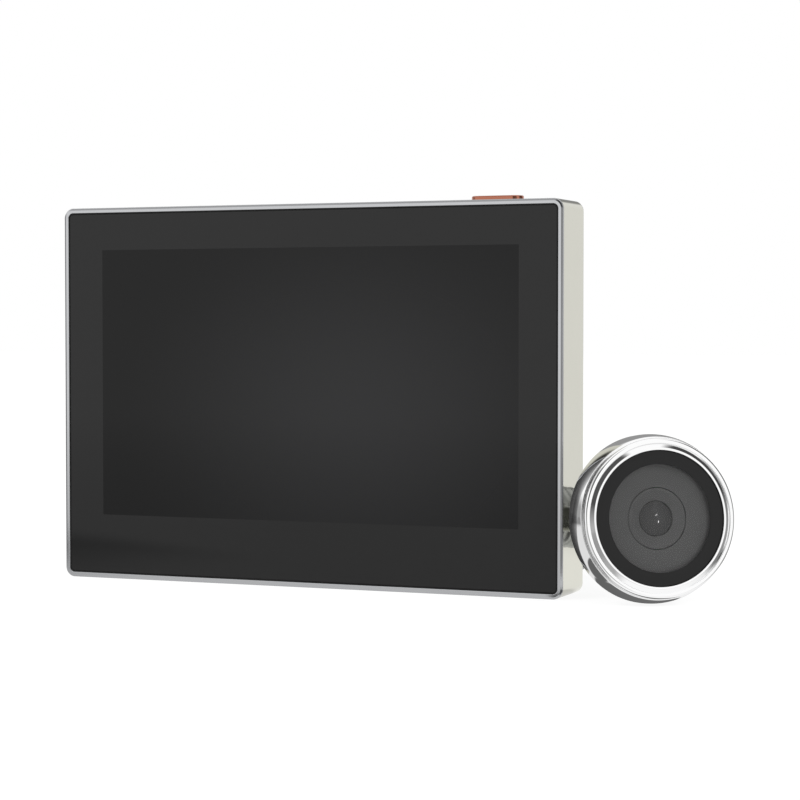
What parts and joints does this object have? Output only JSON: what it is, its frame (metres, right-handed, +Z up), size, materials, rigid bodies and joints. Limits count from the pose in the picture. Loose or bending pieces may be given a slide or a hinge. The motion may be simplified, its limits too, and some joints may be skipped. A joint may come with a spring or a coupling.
{
  "type": "peephole door camera",
  "caption": "Peephole door camera: flat monitor with a black glass front and a top button, a hook bracket in its back, and a round camera head on a keyed tube with a clamp nut.",
  "frame": {"origin": "middle of the monitor's foot, the face it stands on", "axes": "+Z up, +X to the right seen from the front, the screen faces -Y"},
  "size_m": [0.1666, 0.0776, 0.0919],
  "materials": {
    "frame_metal": "satin bright",
    "screen_glass": "gloss, black border",
    "gasket_rubber": "matt",
    "panel_dark": "matt",
    "cell_dark": "satin",
    "tray_steel": "satin",
    "board_green": "satin lacquer",
    "shield_steel": "satin",
    "battery_foil": "satin",
    "housing_metal": "polished, pale champagne",
    "screw_steel": "satin",
    "dark_plastic": "matt",
    "copper_metal": "polished copper tone",
    "contact_gold": "satin",
    "socket_steel": "satin",
    "socket_plastic": "matt",
    "antenna_film": "satin",
    "bracket_steel": "satin",
    "head_chrome": "polished",
    "window_glass": "gloss",
    "mask_black": "gloss",
    "lens_grey": "matt",
    "lens_glass": "gloss, coated",
    "barrel_black": "matt",
    "sensor_chip": "gloss",
    "lamp_plastic": "gloss",
    "seal_rubber": "matt",
    "tube_metal": "turned and bright",
    "washer_dark": "black finish",
    "nut_metal": "satin"
  },
  "bodies": {
    "monitor": {"front_frame": "frame_metal", "cover_glass": "screen_glass", "glass_gasket": "gasket_rubber", "lcd_panel": "panel_dark", "lcd_cell": "cell_dark", "panel_tray": "tray_steel", "main_board": "board_green", "board_shields": "shield_steel", "battery_pack": "battery_foil", "rear_shell": "housing_metal", "housing_screws": "screw_steel", "speaker": "dark_plastic", "microphone": "contact_gold", "button_switch": "dark_plastic", "charge_port": "socket_steel", "card_socket": "socket_steel", "camera_socket": "socket_plastic", "radio_antenna": "antenna_film"},
    "button": {"top_button": "copper_metal"},
    "bracket": {"bracket_plate": "bracket_steel"},
    "head": {"head_body": "head_chrome", "head_bezel": "head_chrome", "head_glass": "window_glass", "glass_seal": "gasket_rubber", "head_mask": "mask_black", "lens_shroud": "lens_grey", "lens_ring": "lens_grey", "lens_element": "lens_glass", "lens_barrel": "barrel_black", "image_sensor": "sensor_chip", "sensor_board": "board_green", "camera_board": "board_green", "night_lamps": "lamp_plastic", "head_screws": "screw_steel", "door_seal": "seal_rubber", "door_tube": "tube_metal"},
    "washer": {"tube_washer": "washer_dark"},
    "nut": {"ring_nut": "nut_metal"}
  },
  "joints": [
    {"name": "button_press", "type": "slide", "parent": "monitor", "child": "button", "axis": [0, 0, -1], "range_m": [0, 0.0008], "stiffness_N_per_m": 1000},
    {"name": "bracket_slide", "type": "slide", "parent": "monitor", "child": "bracket", "axis": [0, 0, -1], "range_m": [0, 0.0055]},
    {"name": "head_lift", "type": "slide", "parent": "monitor", "child": "head", "axis": [0, 0, 1], "range_m": [0, 0.1]},
    {"name": "nut_travel", "type": "slide", "parent": "head", "child": "washer", "axis": [0.617, -0.7813, 0.094], "range_m": [0, 0.012]},
    {"name": "nut_spin", "type": "hinge", "parent": "washer", "child": "nut", "pos_m": [0.04731, 0.04155, 0.01326], "axis": [0.617, -0.7813, 0.094], "range_deg": [0, 2160]}
  ],
  "couplings": [
    {"joint": "nut_spin", "follows": "nut_travel", "rad_per_m": 3141.5}
  ]
}
